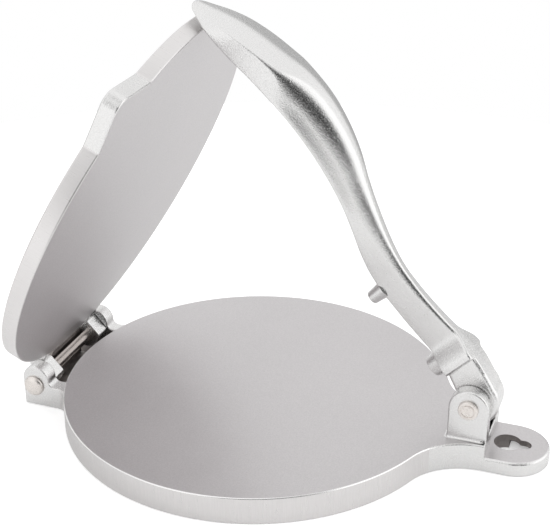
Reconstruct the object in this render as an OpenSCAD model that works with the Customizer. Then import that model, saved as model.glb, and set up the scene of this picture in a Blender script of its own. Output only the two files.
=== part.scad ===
// Hand press for flat breads: a round base, a hinged top plate and a pressing lever, all cast.
// Frame: X runs along both pivots, +Y points to the plate hinge, -Y to the lever, +Z up.
// The origin is the middle of the base's underside, on the table. All sizes are in millimetres.

/* [Base] */
// Diameter of the base's pressing face
base_d = 200; // [180:1:230]
// Height of the pressing face above the table
base_h = 14.2; // [12:0.1:18]
// Thickness of metal under the pressing face
base_skin = 4.2; // [3:0.1:6]
// Thickness of the base's side wall
base_wall = 5; // [3.5:0.1:8]
// Diameter of the boss in the middle of the underside
hub_d = 40; // [30:1:50]
// Thickness of the ribs under the base
rib_t = 4; // [3:0.1:6]
// How far the ribs stay above the table
rib_lift = 2; // [1:0.1:4]
// Number of radial ribs under the base
rib_count = 8; // [4:1:12]
// How far the neck stands out beside each clevis ear
neck_side = 2.7; // [1:0.1:6]
// Radius of the hollow corners between neck and base
neck_fillet = 25; // [10:1:40]

/* [Hanging tab] */
// Height of the tab's top above the table
tab_h = 7.6; // [6:0.1:10]
// Distance from the front of the clevis to the middle of the tab's round end
tab_reach = 10.8; // [9:0.1:20]
// Thickness of metal around the keyhole
tab_skin = 3; // [2:0.1:4]
// Thickness of the wall around the tab
tab_wall = 4.4; // [3:0.1:6]
// Diameter of the keyhole's round part
keyhole_d = 13.6; // [11:0.1:15]
// Width of the keyhole's slot
slot_w = 7.4; // [5:0.1:9]
// Distance from the front of the clevis to the middle of the keyhole's round part
keyhole_at = 8.1; // [7.8:0.1:10]
// Length of the slot past the middle of the round part
slot_reach = 11.6; // [9:0.1:12]

/* [Plate hinge] */
// Distance from the base's rim back to the hinge axis
hinge_behind = 10.6; // [9.5:0.1:16]
// Depth of the hinge axis below the pressing face
hinge_sink = 2.5; // [1:0.1:4]
// Diameter of the hinge rod
rod_d = 6; // [5:0.1:7]
// Width over both hinge ears of the base
hinge_w = 75.2; // [66:0.2:90]
// Thickness of each hinge ear
hinge_ear_t = 8.2; // [6:0.1:10]
// Radius of the round top of a hinge ear
hinge_ear_r = 7.4; // [7:0.1:8]
// Height of the round top's middle above the hinge axis
hinge_ear_rise = 3.8; // [2:0.1:4]
// Distance from the hinge axis forward to the round top's middle
hinge_ear_lead = 1.1; // [0:0.1:1.5]
// Depth of the hinge arms' tops below the pressing face
arm_drop = 2; // [1:0.1:4]
// Rounding at the front foot of each hinge ear
ear_fillet = 4; // [2:0.1:5]
// Rounding between the hinge arms and the round base
arm_fillet = 8; // [4:0.5:12]
// Width of each knuckle of the top plate
knuckle_w = 9; // [7:0.1:11]
// Outer radius of the knuckles
knuckle_r = 7; // [6:0.1:8]
// Lean of the knuckles' flat front face, when shut
knuckle_lean = 21; // [15:0.5:25]
// Rounding of the knuckles' lower corner
toe_r = 2.4; // [1.5:0.1:3]
// Distance from the hinge axis down the front face to that corner's middle
toe_reach = 3.4; // [2.5:0.1:4]
// Gap between each knuckle and the low ledge
ledge_gap = 3; // [1:0.1:10]
// Height of the low ledge above the table
ledge_h = 3; // [2:0.1:4.5]
// Thickness of the wall that stands on the ledge behind the rod
back_wall = 3; // [2:0.1:4]
// Height of that wall above the hinge axis
back_wall_rise = 3.8; // [2:0.1:4]

/* [Top plate] */
// How far the top plate's rim reaches past the base's
top_over = 0.5; // [0:0.1:2]
// Thickness of the top plate at its rim
rim_t = 8.2; // [7:0.1:10]
// Width of the rim on the back of the top plate
rim_w = 6; // [4:0.1:9]
// Thickness of the top plate inside its rim
top_skin = 4.2; // [3:0.1:6]
// Width of the middle rib on the back of the top plate
spine_w = 24; // [20:1:30]
// Thickness of the cross rib on the back of the top plate
cross_t = 5; // [3:0.1:8]
// Diameter of the boss in the middle of the back
boss_d = 44; // [32:1:60]
// Height of the pad that the nubs press on, above the rim
pad_h = 1.8; // [1:0.1:3]
// How far the pad runs past the nubs
pad_past = 8; // [6:0.5:12]
// Distance from the plate's side inwards to the side of the square lifting corner
corner_in = 18.5; // [14:0.5:22]
// Distance from the plate's front inwards to the front of the lifting corner
corner_back = 14.5; // [12:0.5:20]
// Rounding of the lifting corner
corner_r = 6.5; // [4:0.5:10]
// Rounding between the plate and its knuckles
knuckle_fillet = 3; // [1:0.1:3]
// Gap between the pressing faces when shut
shut_gap = 0.3; // [0.2:0.1:1]
// Angle that the top plate stands open
plate_open = 64; // [60:0.5:70]

/* [Clevis] */
// Distance from the base's rim forward to the lever's pivot
pivot_ahead = 13.5; // [13:0.1:20]
// Height of the lever's pivot above the pressing face
pivot_rise = 16.8; // [15:0.1:20]
// Diameter of the lever pin
pin_d = 6; // [5:0.1:7]
// Radius of the ears' round tops
clevis_r = 9.75; // [9:0.05:11]
// Thickness of each ear
clevis_ear_t = 7; // [5:0.1:8]
// Gap between the ears
clevis_gap = 16; // [14:0.1:18]

/* [Lever] */
// How far the lever's tip reaches past the open plate's rim
tip_past = 4.2; // [2:0.1:12]
// Length of the grip, from its waist to its tip
grip_l = 106; // [95:0.5:115]
// Greatest width of the grip
grip_w = 31; // [24:0.5:38]
// Length of the stretch before the waist where the flange widens
flare_l = 29; // [20:0.5:34]
// Length over which the grip's end is rounded
tip_round = 39.5; // [25:0.5:50]
// Height of the grip's waist above the pivot, when shut
waist_rise = 38.2; // [34:0.1:42]
// Height of the tip above the pivot, when shut
tip_rise = 30.2; // [27:0.1:32]
// Thickness of the tip
tip_t = 2.6; // [1.5:0.1:3]
// Slope of the grip's upper edges
edge_slope = 35; // [25:1:45]
// Depth of the sloped edges at the grip's sides, where they are deepest
edge_drop = 5; // [2:0.5:6]
// Thickness of metal in the grip and in the flange
grip_t = 4; // [3:0.1:4.5]
// Width of the narrow top flange
flange_w = 7; // [6:0.1:10]
// Thickness of the web
web_t = 5.4; // [4:0.1:6]
// Width of the shoulder
shoulder_w = 19; // [17:0.1:24]
// Width of the flange over the shoulder
brow_w = 14; // [10:0.1:15]
// Height of the shoulder above the pivot, when shut
shoulder_rise = 13; // [10:0.1:14]
// Distance from the pivot to the step between head and shoulder
head_l = 17.6; // [17:0.1:19]
// Height of the shank's top above the pivot, when shut
shank_h = 16.8; // [14:0.1:18]
// Radius of the eye around the lever pin
eye_r = 9; // [8:0.1:9.5]
// Radius of the heel behind the eye
heel_r = 13.2; // [12:0.1:14]
// Distance from the pivot to the nub nearest it
near_nub_at = 24; // [22:0.1:28]
// Diameter of the nub nearest the pivot
near_nub_d = 9.2; // [7:0.1:10]
// Distance from the pivot to the far nub
far_nub_at = 68.6; // [55:0.1:72]
// Diameter of the far nub
far_nub_d = 6.8; // [5:0.1:8]

/* [Pins] */
// Diameter of the domed heads of the hinge rod
rod_head_d = 11; // [9:0.1:12]
// Height of the domed heads
rod_head_h = 2.2; // [1.5:0.1:3]
// Diameter of the flat heads of the lever pin
pin_head_d = 9.8; // [8:0.1:12]
// Height of the flat heads
pin_head_h = 1.4; // [1:0.1:2.5]
// Depth of the ring pressed into each flat head
pin_ring_depth = 0.3; // [0.2:0.1:0.6]
// Width of that ring
pin_ring_w = 0.5; // [0.3:0.1:1]

/* [Fits] */
// Radial play of a pin in its holes
pin_play = 0.08; // [0.05:0.01:0.1]
// Gap between the hinge rod and the wall behind it
rod_gap = 0.4; // [0.2:0.1:1]
// Play under the heads of the hinge rod
head_play = 0.1; // [0.05:0.05:0.3]
// Side play of each moving piece between its ears
side_play = 0.4; // [0.3:0.05:0.6]
// Gap between the lever's underside and the open plate's rim
rest_gap = 0.5; // [0.2:0.1:1]
// Gap between the nubs and the pad when shut
press_gap = 0.2; // [0.1:0.1:0.5]

/* [Hidden] */
$fn = 180;
overlap = 1;                                    // how far joined shapes run into each other
curve_steps = 20;                               // straight pieces in each curve
flare_out = 18;                                 // stretch in which the flange's overhang fades out

base_r = base_d / 2;
hub_r = hub_d / 2;
ring_r = (base_r - base_wall + hub_r) / 2;      // middle of the round rib

hinge_y = base_r + hinge_behind;
hinge_z = base_h - hinge_sink;
hinge_out = hinge_w / 2;                        // outer faces of the hinge ears
hinge_in = hinge_out - hinge_ear_t;             // inner faces of the hinge ears
ear_y = hinge_y - hinge_ear_lead;               // middle of a hinge ear's round top
ear_z = hinge_z + hinge_ear_rise;
knuckle_out = hinge_in - side_play;
knuckle_in = knuckle_out - knuckle_w;
ledge_half = knuckle_in - ledge_gap;
wall_y = hinge_y + rod_d / 2 + rod_gap;         // front of the wall behind the rod
arm_z = base_h - arm_drop;

pivot_y = -base_r - pivot_ahead;
pivot_z = base_h + pivot_rise;
clevis_in = clevis_gap / 2;
clevis_out = clevis_in + clevis_ear_t;
clevis_front = pivot_y - clevis_r;              // also where the neck steps down to the tab
neck_half = clevis_out + neck_side;
tab_r = neck_half;                              // the tab runs on from the neck's sides
tab_y = clevis_front - tab_reach;
keyhole_y = clevis_front - keyhole_at;
slot_y = keyhole_y - slot_reach + slot_w / 2;   // middle of the slot's round end

top_r = base_r + top_over;
shut_z = base_h + shut_gap;                     // the top plate's pressing face when shut
rim_z = shut_z + rim_t;
pad_front = -top_r + rim_w;
pad_back = pivot_y + far_nub_at + pad_past;

// The lever is drawn in its own frame: u along it from the pivot, v up when it is shut.
head_half = clevis_in - side_play;
nub_drop = pivot_z - rim_z - pad_h - press_gap; // how far the nubs reach below the pivot

// Where a point of the shut plate's front rim comes when the plate is open, seen from the pivot
function turned(p, a) = [p[0] * cos(a) - p[1] * sin(a), p[0] * sin(a) + p[1] * cos(a)];
hinge_at = [hinge_y, hinge_z];
pivot_at = [pivot_y, pivot_z];
function rim_point(z) = hinge_at + turned([-top_r, z] - hinge_at, -plate_open) - pivot_at;

lever_l = norm(rim_point(rim_z)) + tip_past;
waist_u = lever_l - grip_l;
flare_u = waist_u - flare_l;
full_u = lever_l - tip_round;                   // where the grip is widest

// A smooth curve from p to q that leaves and arrives at given slopes. The reaches say how far
// each slope holds, as shares of the run.
function bend(p, q, slope_p, reach_p, slope_q, reach_q) =
    let (
        run = q[0] - p[0],
        a = p + reach_p * run * [1, slope_p],
        b = q - reach_q * run * [1, slope_q])
    [for (i = [1:curve_steps])
        let (t = i / curve_steps, s = 1 - t)
        s * s * s * p + 3 * s * s * t * a + 3 * s * t * t * b + t * t * t * q];
function reversed(list) = [for (i = [len(list) - 1:-1:0]) list[i]];

shank_start = [34, shank_h - 0.4];
waist = [waist_u, waist_rise];
tip = [lever_l, tip_rise];
outer_line = concat(
    [[head_l, shank_h + 0.5], [26, shank_h + 0.7], shank_start],
    bend(shank_start, waist, -0.014, 0.342, 0.487, 0.6),
    bend(waist, tip, 0.487, 0.295, -0.317, 0.615));

under_bend = [far_nub_at + 2, 1.2];
under_waist = [waist_u - 2.8, waist_rise - 17.7];
under_tip = tip - [0, tip_t];
inner_line = concat(
    [[head_l, 0], [36, -0.5], under_bend],
    bend(under_bend, under_waist, -0.015, 0.214, 0.314, 0.15),
    bend(under_waist, under_tip, 0.314, 0.463, -0.02, 0.452));

// How far the grip's upper edges slope down at u, and the line that the slope follows
function edge_depth(u) =
    let (t = (u - flare_u - 6) / (full_u + 15 - flare_u - 6))
    edge_drop * pow(sin(180 * min(1, max(0, t))), 2);
roof_line = [for (p = outer_line)
    [p[0], (p[1] - edge_depth(p[0])) * cos(edge_slope) + grip_w / 2 * sin(edge_slope)]];

// Half the width of the grip and flange at u, less a wall all round
function half_width(u, wall) =
    u < full_u
    ? let (t = max(0, (u - flare_u) / (full_u - flare_u)))
        flange_w / 2 + (grip_w - flange_w) / 2 * pow(sin(90 * t), 1.3) - wall
    : let (t = (u - full_u) / (lever_l - full_u - wall))
        (grip_w / 2 - wall) * sqrt(max(0, 1 - pow(t, 3.2)));

// The lever leans out just far enough for the open plate's rim to stay clear of its underside
underside = [for (p = inner_line) [norm(p), atan2(p[1], p[0])]];
function lean_past(p) =
    atan2(p[1], p[0]) - lookup(norm(p), underside) + asin(rest_gap / norm(p));
lever_open = max([for (i = [0:8]) lean_past(rim_point(shut_z + rim_t * i / 8))]);

// Extrudes a (y, z) outline along X, between two places
module along_x(x0, x1) {
    translate([x0, 0, 0]) rotate([90, 0, 90]) linear_extrude(x1 - x0) children();
}

// Extrudes a plan of the lever past its top and underside
module upright() {
    translate([0, 0, -lever_l]) linear_extrude(2 * lever_l) children();
}

module both_sides() {
    children();
    mirror([1, 0, 0]) children();
}

// Fills the hollow corner between a disc and a bar of half-width half that runs out along +Y
module corner_fill(disc_r, half, r) {
    c = [half + r, sqrt(pow(disc_r + r, 2) - pow(half + r, 2))];
    both_sides() difference() {
        polygon([[0, 0], c, [half, c[1]], [0, c[1]]]);
        translate(c) circle(r);
    }
}

// Base

module base_outline() {
    circle(base_r);
    translate([-neck_half, clevis_front]) square([2 * neck_half, -clevis_front]);
    mirror([0, 1]) corner_fill(base_r, neck_half, neck_fillet);
}

module base_ribs() {
    for (i = [0:rib_count - 1])
        rotate(i * 360 / rib_count) translate([0, -rib_t / 2]) square([base_r, rib_t]);
    difference() {
        circle(ring_r + rib_t / 2);
        circle(ring_r - rib_t / 2);
    }
}

module base_hollow() {
    linear_extrude(base_h - base_skin) difference() {
        circle(base_r - base_wall);
        circle(hub_r);
        base_ribs();
    }
    translate([0, 0, -overlap]) linear_extrude(rib_lift + overlap) difference() {
        circle(base_r - base_wall);
        circle(hub_r);
    }
}

// The tab's plan, less a wall all round
module tab_outline(wall) {
    translate([0, tab_y]) circle(tab_r - wall);
    translate([wall - tab_r, tab_y])
        square([2 * (tab_r - wall), clevis_front - tab_y + overlap - 2 * wall]);
}

module keyhole() {
    translate([0, keyhole_y]) circle(keyhole_d / 2);
    translate([0, slot_y]) circle(slot_w / 2);
    translate([-slot_w / 2, slot_y]) square([slot_w, keyhole_y - slot_y]);
}

module hinge_ear_side() {
    front = ear_y - hinge_ear_r;
    translate([ear_y, ear_z]) circle(hinge_ear_r);
    translate([front, 0]) square([2 * hinge_ear_r, ear_z]);
    translate([base_r / 2, 0]) square([ear_y - base_r / 2, arm_z]);
    difference() {
        translate([front - ear_fillet, arm_z]) square([ear_fillet + overlap, ear_fillet]);
        translate([front - ear_fillet, arm_z + ear_fillet]) circle(ear_fillet);
    }
}

// The hollow corners beside the hinge arms
module arm_corners() {
    difference() {
        corner_fill(base_r, hinge_out, arm_fillet);
        square([2 * hinge_in, 2 * hinge_y], center = true);
    }
}

module ledge_side() {
    translate([base_r / 2, 0]) square([wall_y - base_r / 2 + overlap, ledge_h]);
    translate([wall_y, 0]) square([back_wall, hinge_z + back_wall_rise]);
}

module clevis_ear_side() {
    translate(pivot_at) circle(clevis_r);
    translate([clevis_front, overlap]) square([2 * clevis_r, pivot_z - overlap]);
}

module base() {
    color("gainsboro") difference() {
        union() {
            linear_extrude(base_h) base_outline();
            linear_extrude(tab_h) tab_outline(0);
            both_sides() {
                along_x(hinge_in, hinge_out) hinge_ear_side();
                along_x(clevis_in, clevis_out) clevis_ear_side();
            }
            linear_extrude(arm_z) arm_corners();
            along_x(-ledge_half, ledge_half) ledge_side();
        }
        base_hollow();
        translate([0, 0, -overlap]) linear_extrude(tab_h - tab_skin + overlap) tab_outline(tab_wall);
        linear_extrude(tab_h + overlap) keyhole();
        along_x(-hinge_out - overlap, hinge_out + overlap)
            translate(hinge_at) circle(rod_d / 2 + pin_play);
        along_x(-clevis_out - overlap, clevis_out + overlap)
            translate(pivot_at) circle(pin_d / 2 + pin_play);
    }
}

// Top plate, drawn shut and turned open about the hinge

module top_outline() {
    circle(top_r);
    difference() {
        corner_fill(top_r, knuckle_out, knuckle_fillet);
        square(2 * knuckle_out, center = true);
        translate([-knuckle_out, 0]) square([2 * knuckle_out, hinge_y]);
    }
    difference() {
        translate([corner_in - top_r, corner_back - top_r]) square(top_r / 2);
        translate([corner_in - top_r, corner_back - top_r]) difference() {
            square(corner_r);
            translate([corner_r, corner_r]) circle(corner_r);
        }
    }
}

module knuckle_side() {
    ahead = [-cos(knuckle_lean), -sin(knuckle_lean)];
    down = [sin(knuckle_lean), -cos(knuckle_lean)];
    toe = hinge_at + (knuckle_r - toe_r) * ahead + toe_reach * down;
    face_up = (shut_z - hinge_z + knuckle_r * sin(knuckle_lean)) / cos(knuckle_lean);
    translate(hinge_at) circle(knuckle_r);
    translate(toe) circle(toe_r);
    polygon([
        [base_r / 2, shut_z], [base_r / 2, rim_z], [hinge_y - knuckle_r, rim_z],
        hinge_at + knuckle_r * [cos(30), sin(30)], hinge_at - [0, knuckle_r - 0.1],
        toe + toe_r * down, toe + toe_r * ahead, hinge_at + knuckle_r * ahead - face_up * down]);
}

module top_recess() {
    difference() {
        circle(top_r - rim_w);
        square([spine_w, 2 * top_r], center = true);
        square([2 * top_r, cross_t], center = true);
        circle(boss_d / 2);
        both_sides() translate([knuckle_in, 0]) square([knuckle_w, top_r]);
    }
}

module top_plate() {
    color("silver") translate([0, hinge_y, hinge_z]) rotate([-plate_open, 0, 0])
        translate([0, -hinge_y, -hinge_z]) difference() {
            union() {
                translate([0, 0, shut_z]) linear_extrude(rim_t) top_outline();
                both_sides() along_x(knuckle_in, knuckle_out) knuckle_side();
                translate([-spine_w / 2, pad_front, shut_z])
                    cube([spine_w, pad_back - pad_front, rim_t + pad_h]);
            }
            translate([0, 0, shut_z + top_skin]) linear_extrude(rim_t) top_recess();
            along_x(-hinge_out, hinge_out) translate(hinge_at) circle(rod_d / 2 + pin_play);
        }
}

// Lever, drawn shut and turned open about the pivot

module lever_side() {
    polygon(concat(outer_line, reversed(inner_line)));
}

// The lever seen from above, less a wall all round
module lever_plan(wall) {
    run = lever_l - wall - head_l;
    places = [for (i = [0:60]) head_l + run * i / 60];
    right = [for (u = places) if (half_width(u, wall) > 0) [half_width(u, wall), u]];
    left = [for (p = reversed(right)) [-p[0], p[1]]];
    polygon(concat(right, left));
}

// All that lies under the grip's two sloped upper edges
module grip_roof() {
    intersection_for(side = [-1, 1])
        rotate([0, side * edge_slope, 0]) along_x(-lever_l, lever_l)
            polygon(concat(roof_line, [[lever_l, -lever_l], [head_l, -lever_l]]));
}

// The shank below its flange, seen from above. Past the flare it widens to the grip's own sides.
module shank_core() {
    recess = (flange_w - web_t) / 2;
    places = [for (i = [0:10]) flare_u + flare_out * i / 10];
    side = [for (u = places) [half_width(u, 0) - recess * (1 - (u - flare_u) / flare_out), u]];
    right = concat([[web_t / 2, head_l - overlap]], side);
    left = [for (p = reversed(right)) [-p[0], p[1]]];
    polygon(concat(right, left));
}

// The room under the grip, and beside the shank below its flange
module lever_hollow() {
    difference() {
        lever_plan(grip_t);
        translate([-web_t / 2, 0]) square([web_t, lever_l]);
    }
    difference() {
        translate([-grip_w, head_l]) square([2 * grip_w, flare_u + flare_out - head_l]);
        shank_core();
    }
}

module shoulder_plan(half) {
    narrow_u = near_nub_at + 1;
    end_u = narrow_u + 13;
    side = [for (i = [0:10]) [
        web_t / 2 + (half - web_t / 2) * (1 + cos(18 * i)) / 2,
        narrow_u + (end_u - narrow_u) * i / 10]];
    right = concat([[half, head_l - overlap]], side);
    left = [for (p = reversed(right)) [-p[0], p[1]]];
    polygon(concat(right, left));
}

module head_side() {
    circle(eye_r);
    intersection() {
        circle(heel_r);
        polygon([[0, -eye_r / 2], [-2 * heel_r, 0], [-2 * heel_r, 2 * heel_r], [0, 2 * heel_r]]);
    }
    polygon([
        [0, 0], eye_r * [cos(20), -sin(20)], [head_l + overlap, 0.3],
        [head_l + overlap, shank_h + 0.5], [12, shank_h - 0.4], [7, shank_h - 1.6], [2, shank_h - 3],
        [0, heel_r]]);
}

module nub(u, d) {
    translate([0, u, -nub_drop]) cylinder(d1 = d, d2 = d + 1.4, h = nub_drop + 3);
}

module lever() {
    color("lightgray") translate([0, pivot_y, pivot_z]) rotate([lever_open, 0, 0])
        difference() {
            union() {
                difference() {
                    intersection() {
                        along_x(-grip_w, grip_w) lever_side();
                        upright() lever_plan(0);
                        grip_roof();
                    }
                    intersection() {
                        along_x(-grip_w, grip_w) translate([0, -grip_t]) lever_side();
                        translate([0, 0, -grip_t]) grip_roof();
                        upright() lever_hollow();
                    }
                }
                intersection() {
                    along_x(-grip_w, grip_w) lever_side();
                    union() {
                        upright() shoulder_plan(brow_w / 2);
                        translate([0, 0, shoulder_rise - lever_l])
                            linear_extrude(lever_l) shoulder_plan(shoulder_w / 2);
                    }
                }
                along_x(-head_half, head_half) head_side();
                nub(near_nub_at, near_nub_d);
                nub(far_nub_at, far_nub_d);
            }
            along_x(-grip_w, grip_w) circle(pin_d / 2 + pin_play);
        }
}

// Pins

module hinge_rod() {
    half = hinge_out + head_play;
    dome_r = (pow(rod_head_d / 2, 2) + pow(rod_head_h, 2)) / (2 * rod_head_h);
    color("tan") translate([0, hinge_y, hinge_z]) {
        rotate([0, 90, 0]) cylinder(d = rod_d, h = 2 * half, center = true);
        both_sides() translate([half, 0, 0]) rotate([0, 90, 0]) intersection() {
            translate([0, 0, rod_head_h - dome_r]) sphere(dome_r);
            cylinder(d = rod_head_d, h = rod_head_h);
        }
    }
}

module lever_pin() {
    ring_d = pin_head_d * 0.7;
    color("wheat") translate([0, pivot_y, pivot_z]) {
        rotate([0, 90, 0]) cylinder(d = pin_d, h = 2 * clevis_out, center = true);
        both_sides() translate([clevis_out, 0, 0]) rotate([0, 90, 0]) difference() {
            cylinder(d = pin_head_d, h = pin_head_h);
            translate([0, 0, pin_head_h - pin_ring_depth]) difference() {
                cylinder(d = ring_d, h = overlap);
                cylinder(d = ring_d - 2 * pin_ring_w, h = overlap);
            }
        }
    }
}

base();
top_plate();
lever();
hinge_rod();
lever_pin();
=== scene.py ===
import math

import bpy
from mathutils import Matrix, Vector


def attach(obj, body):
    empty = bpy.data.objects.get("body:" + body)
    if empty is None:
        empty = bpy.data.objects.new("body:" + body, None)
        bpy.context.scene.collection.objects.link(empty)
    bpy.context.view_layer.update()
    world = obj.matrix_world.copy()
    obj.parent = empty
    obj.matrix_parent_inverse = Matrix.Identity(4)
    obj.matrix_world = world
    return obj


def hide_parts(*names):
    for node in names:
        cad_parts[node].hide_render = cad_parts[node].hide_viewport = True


# Metres everywhere. X runs along both pivots, +Y points to the plate hinge, Z is up.
mm = 0.001
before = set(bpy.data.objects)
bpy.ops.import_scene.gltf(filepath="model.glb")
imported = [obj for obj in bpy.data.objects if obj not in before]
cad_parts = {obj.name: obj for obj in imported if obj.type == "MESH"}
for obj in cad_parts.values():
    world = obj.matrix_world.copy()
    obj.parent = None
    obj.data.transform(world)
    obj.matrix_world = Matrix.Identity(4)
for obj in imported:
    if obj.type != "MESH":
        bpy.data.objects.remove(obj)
print("frame loaded,", len(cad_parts), "nodes", flush=True)

size = {
    "baseRadius": 100 * mm,
    "baseHeight": 14.2 * mm,
    "hingeY": 110.6 * mm,
    "hingeZ": 11.7 * mm,
    "pivotY": -113.5 * mm,
    "pivotZ": 31 * mm,
    "plateOpen": math.radians(64),
    "leverLean": math.radians(44.8),
    "overlap": 1 * mm,  # how far a solid reaches into the one that carries it
}


# points on a circle from one angle to another, in degrees, with both ends
def arc(centre, radius, start, end, steps):
    angles = [math.radians(start + (end - start) * i / steps) for i in range(steps + 1)]
    return [(centre[0] + radius * math.cos(a), centre[1] + radius * math.sin(a)) for a in angles]


# an outline from (a, b, radius) corners, given counter-clockwise
def rounded(corners, steps=6):
    outline = []
    for i, (a, b, radius) in enumerate(corners):
        here = Vector((a, b))
        if radius <= 0:
            outline.append((a, b))
            continue
        before = (Vector(corners[i - 1][:2]) - here).normalized()
        after = (Vector(corners[(i + 1) % len(corners)][:2]) - here).normalized()
        half = before.angle(after) / 2
        centre = here + (before + after).normalized() * radius / math.sin(half)
        start = here + before * radius / math.tan(half) - centre
        end = here + after * radius / math.tan(half) - centre
        turn = start.angle_signed(end)
        for k in range(steps + 1):
            angle = math.atan2(start.y, start.x) - turn * k / steps
            outline.append((centre.x + radius * math.cos(angle), centre.y + radius * math.sin(angle)))
    return outline


# the outline moved inwards, its corners kept as corners
def inset(outline, distance):
    moved = []
    for i, point in enumerate(outline):
        here = Vector(point)
        before = here - Vector(outline[i - 1])
        after = Vector(outline[(i + 1) % len(outline)]) - here
        outBefore = Vector((before.y, -before.x)).normalized()
        outAfter = Vector((after.y, -after.x)).normalized()
        mitre = (outBefore + outAfter) / (1 + outBefore.dot(outAfter))
        moved.append(tuple(here - mitre * distance))
    return moved


def quarterTurn(steps):
    return [math.radians(90 * i / steps) for i in range(steps + 1)]


# (inset, height) pairs of a slab with rounded lower and upper edges
def levels(low, high, lowRound, highRound, steps=4):
    lower, upper = [(0, low)], [(0, high)]
    quarter = quarterTurn(steps)
    if lowRound > 0:
        lower = [(lowRound * (1 - math.sin(a)), low + lowRound * (1 - math.cos(a))) for a in quarter]
    if highRound > 0:
        upper = [(highRound * (1 - math.cos(a)), high - highRound * (1 - math.sin(a))) for a in quarter]
    return lower + upper


# (inset, height) pairs of the hollow fillet around something that stands at height low
def foot(low, reach):
    quarter = quarterTurn(5)
    fillet = [(-reach * (1 - math.sin(a)), low + reach * (1 - math.cos(a))) for a in quarter]
    return [(-reach, low - reach)] + fillet


# (inset, height) pairs of a pocket whose floor meets its sides in a hollow
def pocketLevels(low, high, r):
    return [(r * (1 - math.sin(a)), low + r * (1 - math.cos(a))) for a in quarterTurn(4)] + [(0, high)]


def newObject(name, verts, faces):
    mesh = bpy.data.meshes.new(name)
    mesh.from_pydata(verts, [], faces)
    mesh.validate()
    thing = bpy.data.objects.new(name, mesh)
    bpy.context.collection.objects.link(thing)
    return thing


# where a solid's own (a, b, height) lies
def upward(a, b, h):
    return (a, b, h)


def sideways(a, b, h):
    return (h, a, b)


def alongHinge(a, b, h):
    return (h, size["hingeY"] + a, size["hingeZ"] + b)


def alongPivot(a, b, h):
    return (h, size["pivotY"] + a, size["pivotZ"] + b)


# x across the lever, u along it and v up from it
def inLever(x, u, v):
    cosine = math.cos(size["leverLean"])
    sine = math.sin(size["leverLean"])
    return (x, size["pivotY"] + cosine * u - sine * v, size["pivotZ"] + sine * u + cosine * v)


def leverSideways(a, b, h):
    return inLever(h, a, b)


# a closed solid through rings of equally many points
def skinned(name, rings):
    count = len(rings[0])
    verts = [point for ring in rings for point in ring]
    faces = []
    for level in range(len(rings) - 1):
        low = level * count
        for i in range(count):
            j = (i + 1) % count
            faces.append((low + i, low + j, low + count + j, low + count + i))
    faces.append(tuple(reversed(range(count))))
    faces.append(tuple(range((len(rings) - 1) * count, len(rings) * count)))
    return newObject(name, verts, faces)


# a closed solid through the outline at each (inset, height) pair
def stack(name, outline, pairs, place=upward):
    return skinned(name, [[place(a, b, height) for a, b in inset(outline, distance)]
                          for distance, height in pairs])


# a closed solid from (radius, height) pairs turned about the axis that place gives
def lathe(name, profile, place, steps=72):
    verts = []
    faces = []
    rings = []
    for radius, height in profile:
        if radius == 0:
            rings.append([len(verts)])
            verts.append(place(0, 0, height))
            continue
        rings.append(list(range(len(verts), len(verts) + steps)))
        for k in range(steps):
            a = 2 * math.pi * k / steps
            verts.append(place(radius * math.cos(a), radius * math.sin(a), height))
    for low, high in zip(rings, rings[1:]):
        for k in range(steps):
            n = (k + 1) % steps
            if len(low) == 1:
                faces.append((low[0], high[n], high[k]))
            elif len(high) == 1:
                faces.append((low[k], low[n], high[0]))
            else:
                faces.append((low[k], low[n], high[n], high[k]))
    return newObject(name, verts, faces)


# a closed ring from (radius, height) corners, counter-clockwise
def ringSolid(name, profile, steps=128):
    count = len(profile)
    verts = []
    faces = []
    for k in range(steps):
        a = 2 * math.pi * k / steps
        verts += [(r * math.cos(a), r * math.sin(a), h) for r, h in profile]
    for k in range(steps):
        n = (k + 1) % steps
        for i in range(count):
            j = (i + 1) % count
            faces.append((k * count + i, n * count + i, n * count + j, k * count + j))
    return newObject(name, verts, faces)


def bore(radius, half):
    return [(0, -half), (radius, -half), (radius, half), (0, half)]


# the mesh with its modifiers worked in, and the modifiers removed
def evaluated(thing):
    bpy.context.view_layer.update()
    mesh = bpy.data.meshes.new_from_object(thing.evaluated_get(bpy.context.evaluated_depsgraph_get()))
    thing.modifiers.clear()
    thing.data = mesh
    return thing


# joins the other solids to this one, or cuts them out of it, and deletes them
def combine(thing, others, operation):
    for other in others:
        step = thing.modifiers.new(operation, "BOOLEAN")
        step.operation = operation
        step.solver = "MANIFOLD"
        step.object = other
    evaluated(thing)
    for other in others:
        bpy.data.objects.remove(other)
    return thing


smoothing = {"sharpAngle": math.radians(38), "flatWeight": 80}


# smooth shading with crisp creases and flat faces kept flat
def finishSurface(thing):
    mesh = thing.data
    mesh.shade_smooth()
    mesh.set_sharp_from_angle(angle=smoothing["sharpAngle"])
    flatten = thing.modifiers.new("flatten", "WEIGHTED_NORMAL")
    flatten.keep_sharp = True
    flatten.weight = smoothing["flatWeight"]
    evaluated(thing)
    return thing


# turns the mesh, not the object, about the line along X through (y, z)
def turned(thing, y, z, angle):
    about = Matrix.Translation((0, y, z)) @ Matrix.Rotation(angle, 4, "X")
    thing.data.transform(about @ Matrix.Translation((0, -y, -z)))
    return thing


# a new node, with its sockets linked or set; a key such as _2 is a socket's number
def nodeIn(tree, kind, settings=(), **inputs):
    node = tree.nodes.new(kind)
    for key, value in dict(settings).items():
        setattr(node, key, value)
    for key, value in inputs.items():
        socket = node.inputs[int(key[1:])] if key[0] == "_" else node.inputs[key]
        if isinstance(value, bpy.types.NodeSocket):
            tree.links.new(value, socket)
        else:
            socket.default_value = value
    return node


def maths(tree, operation, a, b=0.5):
    return nodeIn(tree, "ShaderNodeMath", {"operation": operation}, _0=a, _1=b).outputs[0]


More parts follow.
